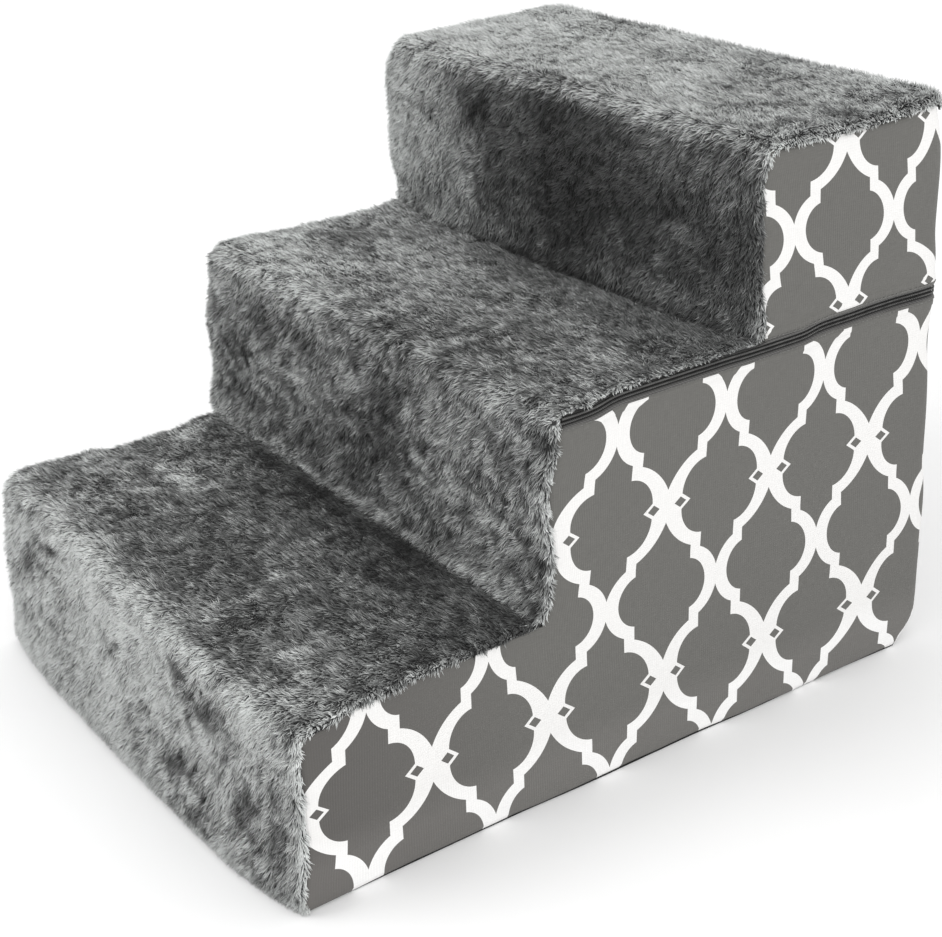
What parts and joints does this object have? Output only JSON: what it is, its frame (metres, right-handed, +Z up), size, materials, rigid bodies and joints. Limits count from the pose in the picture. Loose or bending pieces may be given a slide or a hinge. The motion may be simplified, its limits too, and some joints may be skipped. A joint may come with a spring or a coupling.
{
  "type": "pet staircase",
  "caption": "Foam pet staircase with plush treads and risers, printed canvas sides and back, and a zipped top section that folds forward.",
  "frame": {"origin": "middle of the footprint, on the surface that the stairs stand on", "axes": "+X across the steps, +Y from the front (lowest riser) to the back, +Z up"},
  "size_m": [0.42, 0.526, 0.407],
  "materials": {
    "plush": "matte",
    "printed_canvas": "matte",
    "base_fabric": "matte",
    "foam": "matte",
    "zip_tape": "matte",
    "zip_coil": "satin",
    "zip_metal": "satin"
  },
  "bodies": {
    "base": {"base_panel": "base_fabric", "foam_block_lower": "foam", "foam_block_middle": "foam", "plush_riser_1": "plush", "plush_tread_1": "plush", "plush_riser_2": "plush", "canvas_wrap_lower": "printed_canvas", "zipper_tape_lower": "zip_tape", "zipper_coil_lower": "zip_coil", "zipper_end_stops": "zip_coil"},
    "hood": {"foam_block_upper": "foam", "plush_tread_2": "plush", "plush_riser_3": "plush", "plush_tread_3": "plush", "canvas_wrap_upper": "printed_canvas", "zipper_tape_upper": "zip_tape", "zipper_coil_upper": "zip_coil"},
    "slider": {"zipper_slider": "zip_metal"},
    "pull": {"zipper_pull": "zip_metal"}
  },
  "joints": [
    {"name": "hood_fold", "type": "hinge", "parent": "base", "child": "hood", "pos_m": [0, -0.08, 0.27], "axis": [1, 0, 0], "range_deg": [0, 170]},
    {"name": "slider_run", "type": "slide", "parent": "base", "child": "slider", "axis": [0, 1, 0], "range_m": [0, 0.3]},
    {"name": "pull_swing", "type": "hinge", "parent": "slider", "child": "pull", "pos_m": [-0.2084, 0, 0.27], "axis": [0, 1, 0], "range_deg": [0, 120]}
  ]
}
